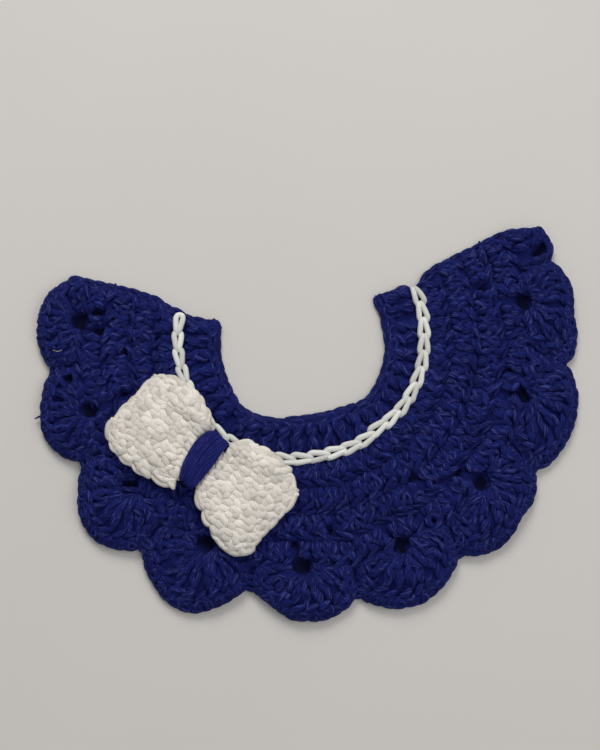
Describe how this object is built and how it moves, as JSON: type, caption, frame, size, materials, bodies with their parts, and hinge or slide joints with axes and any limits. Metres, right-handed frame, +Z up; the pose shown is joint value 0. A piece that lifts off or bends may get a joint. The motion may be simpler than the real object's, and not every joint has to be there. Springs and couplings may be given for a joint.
{
  "type": "crochet collar",
  "caption": "Flat crochet collar with a scalloped shell border, a surface chain round the neck edge and a sewn-on crochet bow.",
  "frame": {"origin": "middle of the collar's bounding box, on the ground it lies on", "axes": "+X along the collar's width towards its higher end, +Y from the front of the border towards the neck opening, +Z up out of the face"},
  "size_m": [0.1966, 0.1436, 0.012],
  "materials": {
    "navy_cotton": "matt crocheted cotton",
    "warm_white_cotton": "matt crocheted cotton",
    "chain_white_cotton": "smooth mercerised cotton",
    "blue_thread": "wound cotton thread with a slight gloss"
  },
  "bodies": {
    "root": {"neck_band": "navy_cotton", "yoke": "navy_cotton", "shell_01": "navy_cotton", "shell_02": "navy_cotton", "shell_03": "navy_cotton", "shell_04": "navy_cotton", "shell_05": "navy_cotton", "shell_06": "navy_cotton", "shell_07": "navy_cotton", "shell_08": "navy_cotton", "shell_09": "navy_cotton", "shell_10": "navy_cotton", "chain_trim": "chain_white_cotton", "bow": "warm_white_cotton", "bow_wrap": "blue_thread"}
  },
  "joints": []
}
